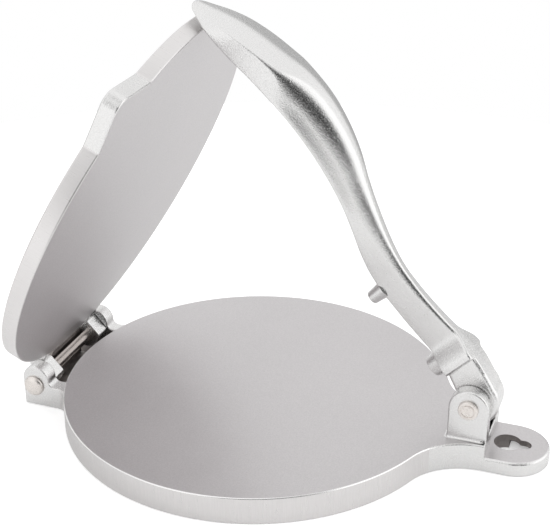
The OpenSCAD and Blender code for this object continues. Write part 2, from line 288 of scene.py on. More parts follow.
# maps a value from one range to another and keeps it inside
def spread(tree, value, low, high, newLow, newHigh):
    return nodeIn(tree, "ShaderNodeMapRange", {}, Value=value, _1=low, _2=high, _3=newLow,
                  _4=newHigh).outputs[0]


def noise(tree, vector, scale, detail, rough):
    return nodeIn(tree, "ShaderNodeTexNoise", {}, Vector=vector, Scale=scale, Detail=detail,
                  Roughness=rough).outputs["Fac"]


# the sum of two values, each with its share
def mixed(tree, a, shareA, b, shareB):
    return maths(tree, "ADD", maths(tree, "MULTIPLY", a, shareA), maths(tree, "MULTIPLY", b, shareB))


# a metal's material, tree, shader and its own coordinates
def startMetal(name, colour, rough):
    material = bpy.data.materials.new(name)
    material.use_nodes = True
    tree = material.node_tree
    shader = tree.nodes["Principled BSDF"]
    shader.inputs["Metallic"].default_value = 1
    shader.inputs["Base Color"].default_value = (*colour, 1)
    shader.inputs["Roughness"].default_value = rough
    return material, tree, shader, tree.nodes.new("ShaderNodeTexCoord").outputs["Object"]


# makes the colour lighter and darker by a pattern, which mostly stays between 0.2 and 0.8
def tint(tree, shader, colour, value, depth):
    factor = spread(tree, value, 0.2, 0.8, 1 - depth, 1 + depth)
    scaled = nodeIn(tree, "ShaderNodeVectorMath", {"operation": "SCALE"}, _0=colour, Scale=factor)
    tree.links.new(scaled.outputs[0], shader.inputs["Base Color"])


# lets the roughness follow a pattern within a band
def roughen(tree, shader, value, band):
    tree.links.new(spread(tree, value, 0.3, 0.7, *band), shader.inputs["Roughness"])


def bump(tree, shader, height, distance):
    raised = nodeIn(tree, "ShaderNodeBump", {}, Height=height, Distance=distance, Strength=1.0)
    tree.links.new(raised.outputs[0], shader.inputs["Normal"])


satin = {
    "colour": (0.617, 0.598, 0.603),
    "rough": 0.36,
    "roughBand": (0.33, 0.42),
    "grain": 1500,  # patterns are in repeats to the metre
    "grainShare": 0.6,
    "cloud": 14,
    "cloudShare": 0.4,
    "tint": 0.16,
    "pits": 55,
    "pitted": (0.72, 0.74),  # only cells above this hold a pit
    "pitWide": 0.04,
    "pitDark": 0.6,
    "relief": 0.00004,
}


# ground faces: a fine even grain, faint clouds and a few tiny pits
def satinMetal(name):
    material, tree, shader, place = startMetal(name, satin["colour"], satin["rough"])
    grain = noise(tree, place, satin["grain"], 3, 0.6)
    cloud = noise(tree, place, satin["cloud"], 4, 0.6)
    both = mixed(tree, grain, satin["grainShare"], cloud, satin["cloudShare"])
    cells = nodeIn(tree, "ShaderNodeTexVoronoi", {}, Vector=place, Scale=satin["pits"], Randomness=1.0)
    chance = nodeIn(tree, "ShaderNodeSeparateColor", {}, Color=cells.outputs["Color"]).outputs[0]
    few = spread(tree, chance, *satin["pitted"], 0.0, 1.0)
    near = spread(tree, cells.outputs["Distance"], 0.0, satin["pitWide"], 1.0, 0.0)
    pit = maths(tree, "MULTIPLY", few, near)
    shade = maths(tree, "SUBTRACT", both, maths(tree, "MULTIPLY", pit, satin["pitDark"]))
    tint(tree, shader, satin["colour"], shade, satin["tint"])
    roughen(tree, shader, cloud, satin["roughBand"])
    bump(tree, shader, maths(tree, "SUBTRACT", grain, pit), satin["relief"])
    return material


linished = {
    "colour": (0.735, 0.718, 0.714),
    "rough": 0.30,
    "roughBand": (0.26, 0.35),
    "around": 150.0,  # marks to the radian
    "up": 60.0,
    "tint": 0.05,
    "relief": 0.00003,
}


# side walls: short upright marks from a grinding belt
def linishedMetal(name, turn=0.0):
    material, tree, shader, place = startMetal(name, linished["colour"], linished["rough"])
    about = (0, size["hingeY"], size["hingeZ"])
    level = nodeIn(tree, "ShaderNodeVectorRotate", {"rotation_type": "X_AXIS"}, Vector=place,
                   Center=about, Angle=turn).outputs[0]
    parts = nodeIn(tree, "ShaderNodeSeparateXYZ", {}, Vector=level)
    angle = maths(tree, "ARCTAN2", parts.outputs["Y"], parts.outputs["X"])
    around = maths(tree, "MULTIPLY", angle, linished["around"])
    up = maths(tree, "MULTIPLY", parts.outputs["Z"], linished["up"])
    line = nodeIn(tree, "ShaderNodeCombineXYZ", {}, X=around, Y=up).outputs[0]
    marks = noise(tree, line, 1.0, 3, 0.7)
    fine = noise(tree, line, 4.0, 2, 0.5)
    tint(tree, shader, linished["colour"], marks, linished["tint"])
    roughen(tree, shader, marks, linished["roughBand"])
    bump(tree, shader, maths(tree, "ADD", marks, fine), linished["relief"])
    return material


tumbled = {
    "colour": (0.77, 0.765, 0.76),
    "rough": 0.22,
    "roughBand": (0.16, 0.30),
    "speckle": 1600,
    "speckleShare": 0.85,
    "wave": 120,
    "waveShare": 0.45,
    "tint": 0.08,
    "relief": 0.00014,
}


# polished castings: softly wavy, with a fine speckle
def tumbledMetal(name):
    material, tree, shader, place = startMetal(name, tumbled["colour"], tumbled["rough"])
    speckle = noise(tree, place, tumbled["speckle"], 3, 0.65)
    wave = noise(tree, place, tumbled["wave"], 3, 0.5)
    tint(tree, shader, tumbled["colour"], speckle, tumbled["tint"])
    roughen(tree, shader, speckle, tumbled["roughBand"])
    height = mixed(tree, speckle, tumbled["speckleShare"], wave, tumbled["waveShare"])
    bump(tree, shader, height, tumbled["relief"])
    return material


# a painted highlight for the base's upper edge: a lighter colour than the ground face
edgeHighlight = {"colour": (0.9, 0.895, 0.89), "rough": 0.16, "roughBand": (0.12, 0.22), "roughSpots": 420}


# the base's upper edge, with a painted highlight: lighter and smoother than the face
def highlightMetal(name):
    material, tree, shader, place = startMetal(name, edgeHighlight["colour"], edgeHighlight["rough"])
    roughen(tree, shader, noise(tree, place, edgeHighlight["roughSpots"], 3, 0.6), edgeHighlight["roughBand"])
    return material


# deep and bore are painted shade, near-black in the hinge bay and darker grey in the keyhole; shelf is
# the bay's ledge at about the metal's own tone
dull = {
    "deep": (0.13, 0.115, 0.11),
    "shelf": (0.62, 0.58, 0.56),
    "bore": (0.4, 0.37, 0.36),
    "rough": 0.45,
    "roughBand": (0.38, 0.6),
    "cloud": 260,
    "tint": 0.35,
    "relief": 0.0002,
}


# places that no belt reaches: rough, clouded metal in the colour given, which is painted shade where
# that colour is dark
def dullMetal(name, colour):
    material, tree, shader, place = startMetal(name, colour, dull["rough"])
    cloud = noise(tree, place, dull["cloud"], 4, 0.6)
    tint(tree, shader, colour, cloud, dull["tint"])
    roughen(tree, shader, cloud, dull["roughBand"])
    bump(tree, shader, cloud, dull["relief"])
    return material


steel = {
    "head": (0.80, 0.755, 0.72),
    "headRough": 0.3,
    "shaft": (0.47, 0.43, 0.405),
    "shaftRough": 0.22,
    "roughSpan": 0.06,
    "speckle": 900,
    "tint": 0.08,
    "relief": 0.00004,
}


# plated steel
def pinMetal(name, colour, rough):
    material, tree, shader, place = startMetal(name, colour, rough)
    speckle = noise(tree, place, steel["speckle"], 3, 0.6)
    tint(tree, shader, colour, speckle, steel["tint"])
    roughen(tree, shader, speckle, (rough - steel["roughSpan"], rough + steel["roughSpan"]))
    bump(tree, shader, speckle, steel["relief"])
    return material


# finishes by piece, each with the name that its faces are painted by
materials = {
    "base": {
        "ground": satinMetal("baseFace"),
        "side": linishedMetal("baseSide"),
        "cast": tumbledMetal("baseCast"),
        # the hinge bay's pocket, painted near-black as painted shade
        "deep": dullMetal("basePocketShade", dull["deep"]),
        "shelf": dullMetal("baseShelf", dull["shelf"]),
        # the keyhole's walls and the tab's hollow, painted darker as painted shade
        "bore": dullMetal("baseBoreShade", dull["bore"]),
        # the base's upper edge, lighter as a painted highlight
        "edge": highlightMetal("baseEdgeHighlight"),
    },
    "top_plate": {
        "ground": satinMetal("plateFace"),
        "side": linishedMetal("plateSide", size["plateOpen"]),
        "cast": tumbledMetal("plateCast"),
    },
    "lever": {"cast": tumbledMetal("leverCast")},
    "hinge_rod": {
        "head": pinMetal("rodHead", steel["head"], steel["headRough"]),
        "shaft": pinMetal("rodShaft", steel["shaft"], steel["shaftRough"]),
    },
    "lever_pin": {"head": pinMetal("pinSteel", steel["head"], steel["headRough"])},
}
print("finishes done", flush=True)


base = {
    "skin": 4.2 * mm,
    "wall": 5 * mm,
    "hubRadius": 20 * mm,
    "cavityRound": 1.5 * mm,
    "ribWidth": 4 * mm,
    "ribCount": 8,
    "ribLift": 2 * mm,
    "ribInto": 0.5 * mm,  # how far the ribs reach into the skin
    "edge": 0.8 * mm,
    "lowEdge": 0.6 * mm,
    "neckHalf": 17.7 * mm,
    "neckFillet": 32 * mm,
    "neckEnd": -123.25 * mm,
    "neckCorner": 0.8 * mm,
    "tabHeight": 7.6 * mm,
    "tabY": -134.05 * mm,
    "tabSkin": 3 * mm,
    "tabWall": 4.4 * mm,
    "tabEdge": 1.6 * mm,
    "holeRadius": 6.8 * mm,
    "holeY": -131.35 * mm,
    "slotRadius": 3.7 * mm,
    "slotY": -139.25 * mm,
    "armRoot": 88 * mm,
    "armTop": 12.2 * mm,
    "armFillet": 8 * mm,
    "filletRoot": 86 * mm,
    "filletInto": 3 * mm,
    "filletPast": 2 * mm,
    "filletLowEdge": 0.5 * mm,
    "earIn": 29.4 * mm,
    "earOut": 37.6 * mm,
    "earRadius": 7.4 * mm,
    "earY": 109.5 * mm,
    "earZ": 15.5 * mm,
    "earFillet": 3.2 * mm,
    "boreHinge": 3.08 * mm,
    "boreHingeHalf": 50 * mm,
    "ledgeRoot": 85 * mm,
    "ledgeHalf": 17 * mm,
    "ledgeTop": 3 * mm,
    # top of a thin sheet across the bay's floor, which carries painted shade
    "sillTop": 1.2 * mm,
    "wallHalf": 19.3 * mm,
    "wallY": 114 * mm,
    "wallBack": 117 * mm,
    "wallTop": 15.5 * mm,
    "wallRound": 1.2 * mm,
    "backRound": 0.4 * mm,
    "clevisIn": 8 * mm,
    "clevisOut": 15 * mm,
    "clevisRadius": 9.75 * mm,
    "clevisEdge": 0.9 * mm,
    "clevisFoot": 1.2 * mm,
    "footFront": 0.6 * mm,
    "footBack": 0.9 * mm,
    "borePin": 3.08 * mm,
    "borePinHalf": 25 * mm,
}


# the round base and its neck, seen from above
def baseOutline():
    r, half, fillet = size["baseRadius"], base["neckHalf"], base["neckFillet"]
    end, corner = base["neckEnd"], base["neckCorner"]
    x = half + fillet
    y = -math.sqrt((r + fillet) ** 2 - x ** 2)
    touch = math.degrees(math.atan2(-y, x))
    disc = arc((0, 0), r, -touch, 180 + touch, 150)
    left = arc((-x, y), fillet, touch, 0, 10)
    right = arc((x, y), fillet, 180, 180 - touch, 10)
    neck = rounded([(-half, y, 0), (-half, end, corner), (half, end, corner), (half, y, 0)])
    return disc[1:-1] + left[:-1] + neck + right[1:]


def tabOutline(wall):
    half = base["neckHalf"] - wall
    inner = base["neckEnd"] + size["overlap"] - 2 * wall
    return [(-half, inner)] + arc((0, base["tabY"]), half, 180, 360, 28) + [(half, inner)]


def keyholeOutline():
    opening = math.degrees(math.asin(base["slotRadius"] / base["holeRadius"]))
    hole = arc((0, base["holeY"]), base["holeRadius"], opening - 90, 270 - opening, 40)
    return hole + arc((0, base["slotY"]), base["slotRadius"], 180, 360, 16)


# a hinge arm and its ear, seen from the side
def armSide():
    front = base["earY"] - base["earRadius"]
    back = base["earY"] + base["earRadius"]
    top, fillet, root = base["armTop"], base["earFillet"], base["armRoot"]
    hollow = arc((front - fillet, top + fillet), fillet, -90, 0, 6)
    crown = arc((base["earY"], base["earZ"]), base["earRadius"], 0, 180, 24)
    return [(root, 0), (back, 0)] + crown + list(reversed(hollow)) + [(root, top)]


# the hollow corner between the round base and the outer side of an arm
def armCorner(side):
    r, half, fillet = size["baseRadius"], base["earOut"], base["armFillet"]
    inner, root = half - base["filletInto"], base["filletRoot"]
    x = half + fillet
    y = math.sqrt((r + fillet) ** 2 - x ** 2)
    touch = math.degrees(math.atan2(y, x))
    curve = arc((x, y), fillet, 180 + touch, 180, 10)
    outline = [(inner, y), (inner, root), (curve[0][0] - base["filletPast"], root)] + curve
    if side < 0:
        outline = [(-a, b) for a, b in reversed(outline)]
    return outline


def clevisSide():
    r, y = base["clevisRadius"], size["pivotY"]
    low = size["overlap"]
    return [(y - r, low), (y + r, low)] + arc((y, size["pivotZ"]), r, 0, 180, 32)


# Geometry Nodes: bars that run outwards like spokes, given by named sizes
def ribTree():
    tree = bpy.data.node_groups.new("ribs", "GeometryNodeTree")
    tree.is_modifier = True
    for name, kind in (("Count", "Int"), ("Inner", "Float"), ("Outer", "Float"), ("Width", "Float"),
                       ("Low", "Float"), ("High", "Float"), ("Metal", "Material")):
        tree.interface.new_socket(name, in_out="INPUT", socket_type="NodeSocket" + kind)
    tree.interface.new_socket("Geometry", in_out="OUTPUT", socket_type="NodeSocketGeometry")
    given = tree.nodes.new("NodeGroupInput").outputs
    length = maths(tree, "SUBTRACT", given["Outer"], given["Inner"])
    middle = maths(tree, "MULTIPLY", maths(tree, "ADD", given["Outer"], given["Inner"]), 0.5)
    tall = maths(tree, "SUBTRACT", given["High"], given["Low"])
    raised = maths(tree, "MULTIPLY", maths(tree, "ADD", given["High"], given["Low"]), 0.5)
    places = nodeIn(tree, "GeometryNodeMeshCircle", {}, Vertices=given["Count"],
                    Radius=middle).outputs[0]
    block = nodeIn(tree, "ShaderNodeCombineXYZ", {}, X=length, Y=given["Width"], Z=tall).outputs[0]
    bar = nodeIn(tree, "GeometryNodeMeshCube", {}, Size=block).outputs[0]
    outwards = tree.nodes.new("GeometryNodeInputPosition").outputs[0]
    spoke = nodeIn(tree, "FunctionNodeAlignRotationToVector", {"axis": "X", "pivot_axis": "Z"},
                   Vector=outwards).outputs[0]
    copies = nodeIn(tree, "GeometryNodeInstanceOnPoints", {}, Points=places, Instance=bar,
                    Rotation=spoke).outputs[0]
    lift = nodeIn(tree, "ShaderNodeCombineXYZ", {}, Z=raised).outputs[0]
    moved = nodeIn(tree, "GeometryNodeTransform", {}, Geometry=copies, Translation=lift).outputs[0]
    real = nodeIn(tree, "GeometryNodeRealizeInstances", {}, Geometry=moved).outputs[0]
    done = nodeIn(tree, "GeometryNodeSetMaterial", {}, Geometry=real,
                  Material=given["Metal"]).outputs[0]
    tree.links.new(done, tree.nodes.new("NodeGroupOutput").inputs[0])
    return tree


# the radial ribs and the round rib under the base
def buildRibs(roof):
    hub, rim, low = base["hubRadius"], size["baseRadius"] - base["wall"], base["ribLift"]
    sizes = {"Count": base["ribCount"], "Inner": hub - size["overlap"], "Outer": rim + size["overlap"],
             "Width": base["ribWidth"], "Low": low, "High": roof, "Metal": materials["base"]["cast"]}
    ribs = newObject("ribs", [(0, 0, 0)], [])
    step = ribs.modifiers.new("ribs", "NODES")
    step.node_group = ribTree()
    for socket in step.node_group.interface.items_tree:
        if socket.name in sizes:
            step[socket.identifier] = sizes[socket.name]
    evaluated(ribs)
    middle, half = (rim + hub) / 2, base["ribWidth"] / 2
    corners = [(middle - half, low), (middle + half, low), (middle + half, roof), (middle - half, roof)]
    return [ribs, ringSolid("hoop", corners)]


# a bar across the hinge bay, from front to the wall's back, with its two upper edges rounded
def crossBar(name, front, top, half, end, frontRound=0, backRound=0):
    back = base["wallBack"]
    corners = [(front, 0, 0), (back, 0, base["backRound"]), (back, top, backRound),
               (front, top, frontRound)]
    return stack(name, rounded(corners), levels(-half, half, end, end), sideways)


def clevisFoot(low, high):
    reach = base["clevisFoot"]
    front = base["neckEnd"] + 2 * reach
    back = size["pivotY"] + base["clevisRadius"]
    plan = rounded([(low, front, base["footFront"]), (high, front, base["footFront"]),
                    (high, back, base["footBack"]), (low, back, base["footBack"])])
    return stack("clevisFoot", plan, foot(size["baseHeight"], reach))


def buildBase():
    top, edge, lowEdge = size["baseHeight"], base["edge"], base["lowEdge"]
    body = stack("baseCasting", baseOutline(), levels(0, top, lowEdge, edge))
    more = [stack("tab", tabOutline(0), levels(0, base["tabHeight"], lowEdge, base["tabEdge"]))]
    for side in (-1, 1):
        low, high = sorted((side * base["earIn"], side * base["earOut"]))
        more.append(stack("ear", armSide(), levels(low, high, edge, edge), sideways))
        corner = levels(0, base["armTop"], base["filletLowEdge"], edge)
        more.append(stack("corner", armCorner(side), corner))
        low, high = sorted((side * base["clevisIn"], side * base["clevisOut"]))
        cheek = levels(low, high, base["clevisEdge"], base["clevisEdge"])
        more.append(stack("clevis", clevisSide(), cheek, sideways))
        more.append(clevisFoot(low, high))
    root, wallRound = base["ledgeRoot"], base["wallRound"]
    more.append(crossBar("ledge", root, base["ledgeTop"], base["ledgeHalf"], lowEdge))
    more.append(crossBar("wall", base["wallY"], base["wallTop"], base["wallHalf"], lowEdge,
                         frontRound=wallRound, backRound=wallRound))
    # a thin sheet across the bay's floor, put there to carry the bay's painted shade
    more.append(crossBar("shadeSill", root, base["sillTop"], base["earIn"] + size["overlap"], 0,
                         backRound=base["backRound"]))
    combine(body, more, "UNION")
    inner, roof, r = size["baseRadius"] - base["wall"], top - base["skin"], base["cavityRound"]
    hub, under = base["hubRadius"], -size["overlap"]
    outerCorner = arc((inner - r, roof - r), r, 0, 90, 4)
    hubCorner = arc((hub + r, roof - r), r, 90, 180, 4)
    tabRoof = base["tabHeight"] - base["tabSkin"]
    cuts = [ringSolid("cavity", [(hub, under), (inner, under)] + outerCorner + hubCorner),
            stack("tabHollow", tabOutline(base["tabWall"]), [(0, under), (0, tabRoof)]),
            stack("keyhole", keyholeOutline(), [(0, 0), (0, base["tabHeight"] + size["overlap"])]),
            lathe("boreHinge", bore(base["boreHinge"], base["boreHingeHalf"]), alongHinge),
            lathe("borePin", bore(base["borePin"], base["borePinHalf"]), alongPivot)]
    combine(body, cuts, "DIFFERENCE")
    combine(body, buildRibs(roof + base["ribInto"]), "UNION")
    return body


plate = {
    "radius": 100.5 * mm,
    "low": 14.5 * mm,
    "rimThick": 8.2 * mm,
    "rimWidth": 6 * mm,
    "skin": 4.2 * mm,
    "edge": 0.8 * mm,
    "spine": 24 * mm,
    "cross": 5 * mm,
    "boss": 22 * mm,
    "pocketRound": 1.2 * mm,
    "padHigh": 1.8 * mm,
    "padFront": -94.5 * mm,
    "padBack": -36.9 * mm,
    "padCorner": 1 * mm,
    "cornerX": -82 * mm,
    "cornerY": -86 * mm,
    "cornerRound": 6.5 * mm,
    "joinRound": 3 * mm,
    "knuckleIn": 20 * mm,
    "knuckleOut": 29 * mm,
    "knuckleRadius": 7 * mm,
    "knuckleEdge": 0.6 * mm,
    "knuckleLean": 21,  # degrees
    "knuckleArc": (-80, 62),
    "knuckleRoot": 104 * mm,
    "knuckleFront": 90 * mm,
    "toeRound": 2.4 * mm,
    "toeReach": 3.4 * mm,
}


# the shut plate from above: a circle with a square lifting corner
def plateOutline():
    r = plate["radius"]
    x, y, q = plate["cornerX"], plate["cornerY"], plate["cornerRound"]
    j = plate["joinRound"]
    # the corner's front side runs at y, its left side at x, each meeting the circle in a small hollow
    hollowX = -math.sqrt((r + j) ** 2 - (y - j) ** 2)
    hollowY = -math.sqrt((r + j) ** 2 - (x - j) ** 2)
    touchFront = math.degrees(math.atan2(y - j, hollowX))
    touchSide = math.degrees(math.atan2(hollowY, x - j))
    disc = arc((0, 0), r, touchFront, touchSide + 360, 140)
    side = arc((x - j, hollowY), j, touchSide + 180, 0, 6)
    corner = arc((x + q, y + q), q, 180, 270, 8)
    front = arc((hollowX, y - j), j, 90, touchFront + 180, 6)
    return disc[1:-1] + side + corner + front


# a knuckle seen from the side: round at the back, with a leaning flat and a small toe in front
def knuckleSide():
    lean = math.radians(plate["knuckleLean"])
    ahead = Vector((-math.cos(lean), -math.sin(lean)))
    down = Vector((math.sin(lean), -math.cos(lean)))
    hinge = Vector((size["hingeY"], size["hingeZ"]))
    r, t = plate["knuckleRadius"], plate["toeRound"]
    toe = hinge + (r - t) * ahead + plate["toeReach"] * down
    start = math.degrees(math.atan2(ahead.y, ahead.x)) % 360
    toeArc = arc(tuple(toe), t, start, start + 90, 6)
    back = arc(tuple(hinge), r, *plate["knuckleArc"], 20)
    low, rim = plate["low"], plate["low"] + plate["rimThick"]
    front = plate["knuckleFront"]
    flatTop = hinge + r * ahead - (low - hinge.y + r * math.sin(lean)) / math.cos(lean) * down
    return toeArc + back + [(plate["knuckleRoot"], rim), (front, rim), (front, low), tuple(flatTop)]


def plateRim():
    return plate["radius"] - plate["rimWidth"]


# the four pockets of the plate's back, between its rim, spine, cross rib and boss
def buildPockets(low, high):
    inner, boss = plateRim(), plate["boss"]
    wide, thin = plate["spine"] / 2, plate["cross"] / 2
    outer = arc((0, 0), inner, math.degrees(math.asin(thin / inner)),
                math.degrees(math.acos(wide / inner)), 40)
    back = arc((0, 0), boss, math.degrees(math.acos(wide / boss)),
               math.degrees(math.asin(thin / boss)), 12)
    pockets = []
    for sideX in (-1, 1):
        for sideY in (-1, 1):
            outline = [(sideX * a, sideY * b) for a, b in outer + back]
            if sideX * sideY < 0:
                outline.reverse()
            pockets.append(stack("pocket", outline, pocketLevels(low, high, plate["pocketRound"])))
    return pockets


def buildPlate():
    low, high = plate["low"], plate["low"] + plate["rimThick"]
    edge, past = plate["edge"], 2 * size["overlap"]
    body = stack("plateCasting", plateOutline(), levels(low, high, edge, edge))
    pocketFloor = low + plate["skin"]
    combine(body, buildPockets(pocketFloor, high + past), "DIFFERENCE")
    more = []
    for side in (-1, 1):
        left, right = sorted((side * plate["knuckleIn"], side * plate["knuckleOut"]))
        knuckle = levels(left, right, plate["knuckleEdge"], plate["knuckleEdge"])
        more.append(stack("knuckle", knuckleSide(), knuckle, sideways))
        rib = [(left, 0), (right, 0), (right, plateRim()), (left, plateRim())]
        more.append(stack("backRib", rib, levels(pocketFloor - size["overlap"], high, 0, edge)))
    wide, corner = plate["spine"] / 2, plate["padCorner"]
    pad = rounded([(-wide, plate["padFront"], corner), (wide, plate["padFront"], corner),
                   (wide, plate["padBack"], corner), (-wide, plate["padBack"], corner)])
    more.append(stack("pad", pad, levels(low + past, high + plate["padHigh"], 0, edge)))
    combine(body, more, "UNION")
    cut = lathe("boreHinge", bore(base["boreHinge"], base["boreHingeHalf"]), alongHinge)
    combine(body, [cut], "DIFFERENCE")
    return turned(body, size["hingeY"], size["hingeZ"], -size["plateOpen"])


lever = {
    "length": 228.9,  # the lever's own sizes are in millimetres
    "wall": 3.6,
    "web": 2.7,
    "first": 8,  # the first section, inside the head
    "evenFrom": 19,  # evenly spaced sections start here and end this far from the tip
    "evenTo": 12,
    "evenSteps": 110,
    "tipRun": 4,
    "shank": 3.5,  # half-widths
    "grip": 15.5,
    "flare": 6.5,  # what the shoulder adds
    "stepAt": 17.2,  # the shoulder's end towards the head
    "stepRun": (-0.5, 1.5),
    "step": 3,
    "flareRun": (19.5, 33),
    "swellFrom": 66,
    "swellPower": 1.6,
    "tipFrom": 39.5,  # back from the lever's end
    "tipPower": 3.2,
    "roof": 0.17,  # fall of the top from its middle line to its edges
    "roofWide": 9,
    "roofShare": 0.2,
    "roofRun": (66, 116),
    "ridge": 1.2,  # half-width of the rounded middle line
    "hollowRuns": ((118, 130), (214, 222)),
    "hollowShare": 0.85,
    "hollowRoof": 4.2,
    "hollowRound": 1.5,
    "draftRuns": ((25, 31), (74, 96)),
    "draft": 0.75,
    "tipLeanRun": (196, 222),
    "tipLean": 1.6,
    "bellyLeanRuns": ((90, 125), (156, 178)),
    "bellyLean": 1.2,
    "lowRound": 0.8,
    "edgeTurn": math.radians(84),  # how far the rounded edge turns down
    "edgeSteps": 14,
    "roofSteps": 8,
    "sideSteps": 3,
    # (distance along the lever, size)
    "ridgeLine": [(8, 15.6), (13, 16.7), (18, 17.3), (26, 17.5), (34, 16.7), (46, 16.3),
                  (60, 16.7), (72, 18.1), (86, 22), (100, 27.5), (113, 33.4), (126, 40),
                  (140, 45), (150, 47.3), (160, 48.4), (170, 48), (182, 45.5), (198, 42),
                  (208, 39), (216, 35.6), (223, 32.2), (228.9, 29.4)],
    "underLine": [(8, 0), (18, 0), (36, -0.5), (58, 0.2), (70, 1.2), (80, 3.5), (90, 7.5),
                  (100, 12.5), (110, 17.2), (126, 23), (140, 26.7), (160, 29.9), (180, 30.6),
                  (200, 29.5), (228.9, 28.2)],
    "edgeWide": [(8, 0.9), (45, 1.5), (70, 2), (85, 2.8), (100, 4.2), (126, 6), (140, 6.4),
                 (162, 7), (170, 5.8), (178, 2.4), (186, 1), (200, 0.8), (229, 0.8)],
    "edgeTall": [(8, 0.9), (45, 2.5), (70, 4.5), (90, 7), (110, 10), (126, 11.5), (140, 12.5),
                 (162, 14.5), (170, 11), (178, 4), (186, 1.4), (200, 0.9), (229, 0.7)],
    "nubs": [(23.4, 11), (68.6, 6.8)],  # distance along and diameter
    "nubLow": -6.3,
    "nubHigh": 2.4,
    "nubRound": 0.3,
    "nubDraft": 0.9,
    "eye": 9,
    "heel": 13.2,
    "headHalf": 7.6,
    "headRound": 2.2,
    "headTop": [(18.6, 0.3), (18.6, 17.3), (12, 16.4), (7, 15.3), (2.4, 14.2)],
}


def smooth(u, start, end):
    t = min(1, max(0, (u - start) / (end - start)))
    return t * t * (3 - 2 * t)


# rises over one run and falls over the next
def between(u, rise, fall):
    return smooth(u, *rise) * (1 - smooth(u, *fall))


# the height at u of a smooth curve through the points, level where it turns unless it may overshoot
def through(points, u, overshoot=False):
    last = len(points) - 1
    if u >= points[last][0]:
        return points[last][1]
    slopes = [(q[1] - p[1]) / (q[0] - p[0]) for p, q in zip(points, points[1:])]
    i = max(k for k in range(last) if u >= points[k][0] or k == 0)
    ends = []
    for k in (i, i + 1):
        if k in (0, last):
            ends.append(slopes[min(k, last - 1)])
            continue
        before = points[k][0] - points[k - 1][0]
        after = points[k + 1][0] - points[k][0]
        level = slopes[k - 1] * slopes[k] <= 0 and not overshoot
        ends.append(0 if level else (slopes[k - 1] * after + slopes[k] * before) / (before + after))
    run = points[i + 1][0] - points[i][0]
    t = (u - points[i][0]) / run
    return ((2 * t ** 3 - 3 * t ** 2 + 1) * points[i][1] + (t ** 3 - 2 * t ** 2 + t) * run * ends[0]
            + (3 * t ** 2 - 2 * t ** 3) * points[i + 1][1] + (t ** 3 - t ** 2) * run * ends[1])


def halfWidth(u):
    full = lever["length"] - lever["tipFrom"]
    if u < lever["flareRun"][1]:
        step = smooth(u, *[lever["stepAt"] + d for d in lever["stepRun"]])
        flare = 1 - smooth(u, *lever["flareRun"])
        return lever["shank"] + lever["flare"] * flare - lever["step"] * (1 - step)
    if u < full:
        t = max(0, (u - lever["swellFrom"]) / (full - lever["swellFrom"]))
        swell = math.sin(math.pi / 2 * t) ** lever["swellPower"]
        return lever["shank"] + (lever["grip"] - lever["shank"]) * swell
    t = (u - full) / (lever["length"] - full)
    return lever["grip"] * math.sqrt(max(0, 1 - t ** lever["tipPower"]))


# the underside's half: (x, v) pairs from the lower edge in to the middle, round the hollow and its web;
# the shares keep a narrow section from folding over itself, here and in leverSection
def underside(u, side, low, under, eaves):
    web = min(lever["web"], 0.4 * side)
    inner = max(side - lever["wall"], web + 0.12)
    inner = min(inner, side - low - 0.05)
    room = max(0, lever["hollowShare"] * (eaves - under) - lever["hollowRoof"])
    deep = between(u, *lever["hollowRuns"]) * room * smooth(inner - web, 0.5, 4)
    soft = min(lever["hollowRound"], 0.3 * (inner - web))
    corner = under + deep - min(soft, 0.4 * deep)
    return [(inner, under), (inner - 0.4 * soft, corner), (inner - soft, under + deep),
            (web + soft, under + deep), (web + 0.4 * soft, corner), (web, under), (0, under)]


# half a cross-section: (x, v) pairs from the top's middle to the underside's
def leverSection(u):
    half = halfWidth(u)
    under = through(lever["underLine"], u)
    top = through(lever["ridgeLine"], u, overshoot=True)
    # the grip's sides lean in, most near its tip
    leanIn = lever["tipLean"] * smooth(u, *lever["tipLeanRun"])
    leanIn += lever["bellyLean"] * between(u, *lever["bellyLeanRuns"])
    shoulder = max(0.6 * half, half - leanIn)
    wide = min(through(lever["edgeWide"], u), 0.75 * shoulder)
    ridge = min(lever["ridge"], 0.4 * shoulder)
    flat = shoulder - wide
    share = lever["roofShare"]
    roof = lever["roof"] * smooth(half, 0, lever["roofWide"])
    roof *= share + (1 - share) * smooth(u, *lever["roofRun"])

    def height(x):
        return top - roof * (math.sqrt(x * x + ridge * ridge) - ridge)

    across = [flat * i / lever["roofSteps"] for i in range(lever["roofSteps"] + 1)]
    points = [(x, height(x)) for x in across]
    eaves = points[-1][1]
    tall = min(through(lever["edgeTall"], u), 0.72 * (eaves - under))
    fall = roof * flat / math.sqrt(flat * flat + ridge * ridge)
    start, end = math.atan(wide / tall * fall), lever["edgeTurn"]
    for i in range(1, lever["edgeSteps"] + 1):
        t = start + (end - start) * i / lever["edgeSteps"]
        out = (math.sin(t) - math.sin(start)) / (math.sin(end) - math.sin(start))
        points.append((flat + wide * out, eaves - tall * (math.cos(start) - math.cos(t))))
    wallX, wallV = points[-1]
    low = min(lever["lowRound"], 0.3 * (wallV - under))
    side = half - lever["draft"] * between(u, *lever["draftRuns"])
    for i in range(1, lever["sideSteps"] + 1):
        t = i / lever["sideSteps"]
        points.append((wallX + (side - wallX) * t, wallV + (under + low - wallV) * t))
    points.append((side - 0.3 * low, under + 0.3 * low))
    points.append((side - low, under))
    return points + underside(u, side, low, under, eaves)


